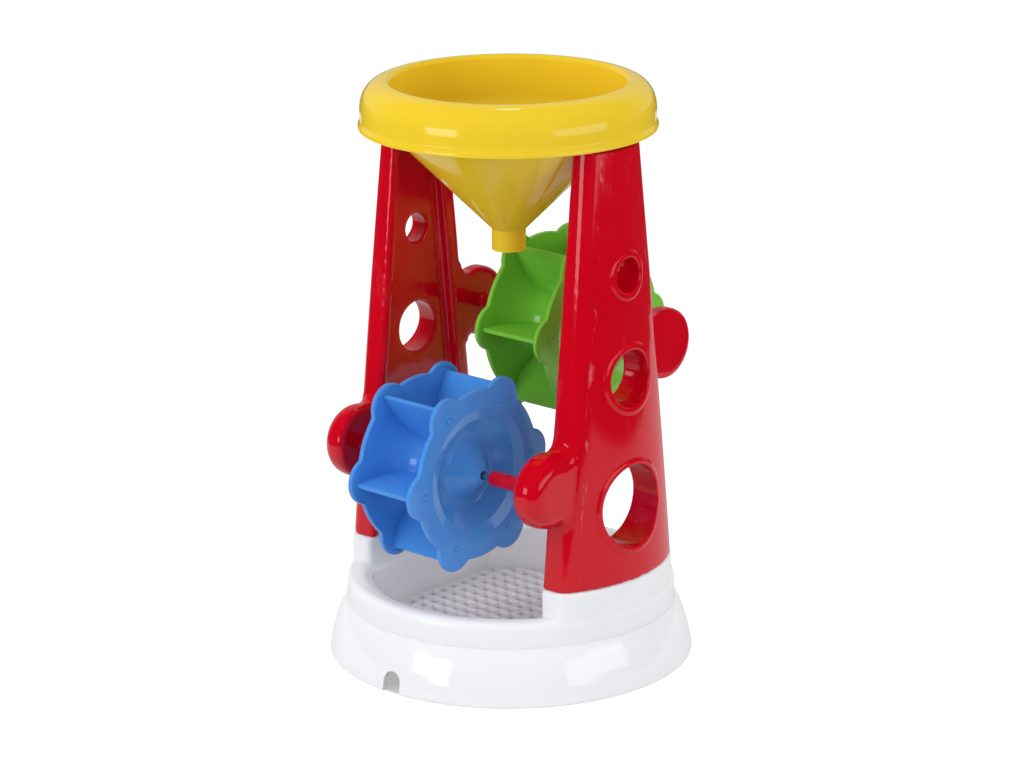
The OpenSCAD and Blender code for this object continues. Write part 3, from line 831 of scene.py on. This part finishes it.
def wheelShell():
    # half a wheel on the +Z side, before it is turned along X
    rim = wheel["discRadius"]
    edge = wheel["edgeRound"]
    z0 = wheel["discIn"]
    z1 = wheel["halfWidth"]
    section = [Vector((wheel["drum"], wheel["seam"])), *quarter(wheel["bucket"], 180, 90, 24)]
    lipWide, lipRise = wheel["lip"]
    flat = wheel["flatFrom"]
    section += [Vector((flat, z0)), Vector((rim - lipWide - 0.25, z0)),
                Vector((rim - lipWide, z0 - lipRise))]
    section += arc((rim - edge, z0 - lipRise + edge), edge, -90, 0, 4)
    section += arc((rim - edge, z1 - edge), edge, 0, 90, 4)
    hub = wheel["hub"]
    end = wheel["hubEnd"]
    sunk = end - wheel["mouthDepth"]
    corners = [(flat, z1, 0), *wheel["dish"], (hub, wheel["dish"][-1][1] + 0.2, 0.2), (hub, end, 0.5),
               (wheel["mouth"], end, 0.2), (wheel["mouth"], sunk, 0), (wheel["bore"], sunk, 0),
               (wheel["bore"], wheel["seam"], 0)]
    section += softCorners([(section[-1].x, z1, 0), *corners], 6)[1:]
    bm = bmesh.new()
    spun(bm, section, wheel["steps"])
    start = wheel["lobeStart"]
    for v in bm.verts:
        r = sqrt(v.co.x ** 2 + v.co.y ** 2)
        if r > start:
            a = atan2(v.co.y, v.co.x)
            wanted = start + (r - start) * (lobedRadius(a) - start) / (rim - start)
            v.co.x *= wanted / r
            v.co.y *= wanted / r
    return bm


def paddlePlates(bm):
    # flat plates whose edges are buried a little in the drum and the discs
    bucket = wheel["bucket"]
    bury = wheel["bury"]
    deeper = {"centre": bucket["centre"], "across": bucket["across"] + bury, "up": bucket["up"] + bury}
    side = quarter(deeper, 180, 90, 16)
    tip = wheel["paddleTip"]
    outline = [Vector((wheel["drum"] - bury, 0)), *side, Vector((tip, wheel["discIn"] + bury))]
    outline = outline + [Vector((p.x, -p.y)) for p in reversed(outline[1:])]
    for k in range(wheel["lobes"]):
        plate = bmesh.new()
        prism(plate, outline, -wheel["paddle"] / 2, wheel["paddle"] / 2)
        lip = [e for e in plate.edges if all(v.co.x > tip - 0.01 for v in e.verts)
               and abs(e.verts[0].co.z - e.verts[1].co.z) < 0.01]
        roundEdges(plate, lip, wheel["paddleRound"], 3)
        bmesh.ops.rotate(plate, matrix=Matrix.Rotation(radians(90), 3, "X"), verts=plate.verts)
        turn = Matrix.Rotation(2 * pi * k / wheel["lobes"], 3, "Z")
        bmesh.ops.rotate(plate, matrix=turn, verts=plate.verts)
        added(bm, plate)


def pinHeads(bm):
    r = wheel["pin"]
    low = wheel["discIn"] + 0.3
    top = wheel["halfWidth"] + wheel["pinRise"]
    dome = [(r * share, top - drop) for share, drop in wheel["pinDome"]]
    for k in range(wheel["lobes"]):
        head = bmesh.new()
        spun(head, [(0, low), (r, low), *dome, (0, top)], wheel["pinSteps"])
        a = 2 * pi * k / wheel["lobes"]
        at = (wheel["lobeAt"] * cos(a), wheel["lobeAt"] * sin(a), 0)
        bmesh.ops.translate(head, vec=at, verts=head.verts)
        added(bm, head)


def pinSeats(bm):
    # a shallow round recess round each pin
    low, high, depth = wheel["pinSeat"]
    for k in range(wheel["lobes"]):
        cutter = bmesh.new()
        bmesh.ops.create_cone(cutter, cap_ends=True, segments=32, radius1=low, radius2=high, depth=depth)
        a = 2 * pi * k / wheel["lobes"]
        at = (wheel["lobeAt"] * cos(a), wheel["lobeAt"] * sin(a), wheel["halfWidth"])
        bmesh.ops.translate(cutter, vec=at, verts=cutter.verts)
        bm = combined(bm, cutter, "DIFFERENCE")
    return bm


def makeWheels():
    cap = pinSeats(wheelShell())
    body = wheelShell()
    bmesh.ops.scale(body, vec=(1, 1, -1), verts=body.verts)
    bmesh.ops.reverse_faces(body, faces=body.faces)
    bmesh.ops.recalc_face_normals(body, faces=body.faces)
    paddlePlates(body)
    pinHeads(body)
    for name, (level, along, turn) in wheel["places"].items():
        place = Matrix.Translation((along, *axles[level])) @ alongX @ Matrix.Rotation(radians(turn), 4, "Z")
        place = place @ Matrix.Diagonal((1, 1, wheel["widen"], 1))
        slotName = name.split("_")[0] + "_plastic"
        for part, half in (("body", body), ("cap", cap)):
            copy = half.copy()
            bmesh.ops.transform(copy, matrix=place, verts=copy.verts)
            finishPiece(copy, "%s_%s_half" % (name, part), name, slotName, ("%s_%s" % (name, part),),
                        recalc=False)
    cap.free()
    body.free()


makeWheels()


# CAD pieces that keep their own shape get the finish of their slot
for nodeName, slotName in (("front_axle", "axle_steel"), ("back_axle", "axle_steel"),
                           ("column_screws", "screw_steel")):
    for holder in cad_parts[nodeName].material_slots:
        holder.material = finishes[slotName]
print("steel finished")


# pale floor sheet under the toy, square to the camera
# under is the floor's lowered glow within reach of the toy's middle, a painted shade under the toy
floorSheet = {"front": 0.45, "back": 1.3, "side": 0.57, "white": 0.55, "shade": 0.26,
              "fill": 0.86, "mirrored": 0.58, "under": 0.42, "reach": 0.0935}


def makeFloor():
    bm = bmesh.new()
    bmesh.ops.create_grid(bm, x_segments=1, y_segments=1, size=0.5)
    length = floorSheet["front"] + floorSheet["back"]
    bmesh.ops.scale(bm, vec=(2 * floorSheet["side"], length, 1), verts=bm.verts)
    middle = (floorSheet["back"] - floorSheet["front"]) / 2
    bmesh.ops.translate(bm, vec=(0, middle, 0), verts=bm.verts)
    bmesh.ops.rotate(bm, matrix=Matrix.Rotation(radians(shot["azimuth"]), 3, "Z"), verts=bm.verts)
    mesh = bpy.data.meshes.new("floor")
    bm.to_mesh(mesh)
    bm.free()
    material, tree = newTree("pale_floor")
    seen = tree.make("ShaderNodeLightPath", output=0)
    mirrored = tree.make("ShaderNodeLightPath", output=3)
    through = tree.make("ShaderNodeLightPath", output=6)
    shown = seen.maths("MAXIMUM", seen, mirrored.maths("MAXIMUM", mirrored, through))
    matt = tree.make("ShaderNodeBsdfDiffuse", {}, {"Color": (floorSheet["white"],) * 3 + (1,)})
    faint = tree.make("ShaderNodeBsdfDiffuse", {}, {"Color": (floorSheet["shade"],) * 3 + (1,)})
    place = tree.make("ShaderNodeTexCoord", output=3)
    away = tree.make("ShaderNodeVectorMath", {"operation": "LENGTH"}, {0: place}, output=1)
    # painted shade: the floor's glow is lowered under the toy, so the patch under it reads darker
    beyond = away.over(floorSheet["reach"], 0.001)
    level = floorSheet["under"] + (floorSheet["fill"] - floorSheet["under"]) * beyond
    level = level * (1 - (1 - floorSheet["mirrored"]) * mirrored)
    glow = tree.make("ShaderNodeCombineColor", {}, {0: level, 1: level, 2: level})
    white = tree.make("ShaderNodeEmission", {}, {"Color": glow, "Strength": 1.0})
    shadowed = tree.make("ShaderNodeAddShader", {}, {0: faint, 1: white})
    both = tree.make("ShaderNodeMixShader", {}, {0: shown, 1: matt, 2: shadowed})
    tree.make("ShaderNodeOutputMaterial", {}, {"Surface": both})
    mesh.materials.append(material)
    floor = bpy.data.objects.new("floor", mesh)
    scene.collection.objects.link(floor)


makeFloor()
print("floor laid")


# soft studio light and a pale room
# a lamp marked mirror shows only in reflections, and one marked fill never does
softboxes = (
    {"name": "left_front_softbox", "azimuth": -9.0, "distance": 1.2, "height": 0.285, "size": (0.54, 0.34),
     "shine": 4.2, "only": "mirror"},
    {"name": "right_softbox", "azimuth": 98.0, "distance": 1.25, "height": 0.31, "size": (1.0, 0.40),
     "shine": 2.0, "only": ""},
    {"name": "top_softbox", "azimuth": 222.0, "distance": 0.6, "height": 1.45, "size": (0.12, 0.14),
     "shine": 9.0, "only": "mirror"},
    {"name": "high_front_fill", "azimuth": -15.0, "distance": 0.95, "height": 1.0, "size": (0.7, 0.5),
     "shine": 2.7, "only": "fill"},
    {"name": "left_front_fill", "azimuth": -8.0, "distance": 1.2, "height": 0.47, "size": (0.8, 0.4),
     "shine": 3.8, "only": "fill"},
    {"name": "right_fill", "azimuth": 64.0, "distance": 1.3, "height": 0.45, "size": (0.8, 0.6),
     "shine": 2.3, "only": "fill"},
)
room = {"front": 0.34, "back": 1.5, "top": 0.85, "mirror": 0.45, "behindCamera": 0.04, "low": 0.04,
        "frontTurn": (-0.1, 0.4), "mirrorTurn": (-0.45, 0.2), "horizon": (-0.02, 0.03),
        "overhead": (0.6, 0.2), "lift": 10.0, "aimHeight": 0.15}


def makeLights():
    for box in softboxes:
        lamp = bpy.data.lights.new(box["name"], "AREA")
        lamp.shape = "RECTANGLE"
        lamp.size, lamp.size_y = box["size"]
        lamp.energy = box["shine"] * pi * box["size"][0] * box["size"][1]
        holder = bpy.data.objects.new(box["name"], lamp)
        a = radians(box["azimuth"])
        holder.location = (box["distance"] * sin(a), -box["distance"] * cos(a), box["height"])
        aim = Vector((0, 0, min(box["height"], room["aimHeight"]))) - holder.location
        holder.rotation_mode = "QUATERNION"
        holder.rotation_quaternion = aim.to_track_quat("-Z", "Y")
        holder.visible_glossy = box["only"] != "fill"
        holder.visible_diffuse = box["only"] != "mirror"
        scene.collection.objects.link(holder)
    world = bpy.data.worlds.new("room")
    world.use_nodes = True
    world.node_tree.nodes.clear()
    scene.world = world
    tree = Wire(world.node_tree)
    seen = tree.make("ShaderNodeLightPath", output=0)
    mirrored = tree.make("ShaderNodeLightPath", output=3)
    way = tree.make("ShaderNodeTexCoord", output=0)
    towards = awayFrom(shot["azimuth"], room["lift"])
    facing = tree.make("ShaderNodeVectorMath", {"operation": "DOT_PRODUCT"}, {0: way, 1: towards}, output=1)
    high = tree.make("ShaderNodeSeparateXYZ", {}, {"Vector": way}, output=2)
    front = facing.over(*room["frontTurn"])
    above = high.over(*room["horizon"])
    turned = facing.over(*room["mirrorTurn"])
    glossy = room["mirror"] + (room["behindCamera"] - room["mirror"]) * turned
    glossy = room["low"] + (glossy - room["low"]) * above
    ambient = room["back"] + (room["front"] - room["back"]) * front
    ambient = ambient + (room["top"] - ambient) * high.over(*room["overhead"])
    level = ambient + (glossy - ambient) * mirrored
    level = level + (1 - level) * seen
    sky = tree.make("ShaderNodeBackground", {}, {"Color": (1, 1, 1, 1), "Strength": level})
    tree.make("ShaderNodeOutputWorld", {}, {"Surface": sky})


makeLights()
print("lights set")
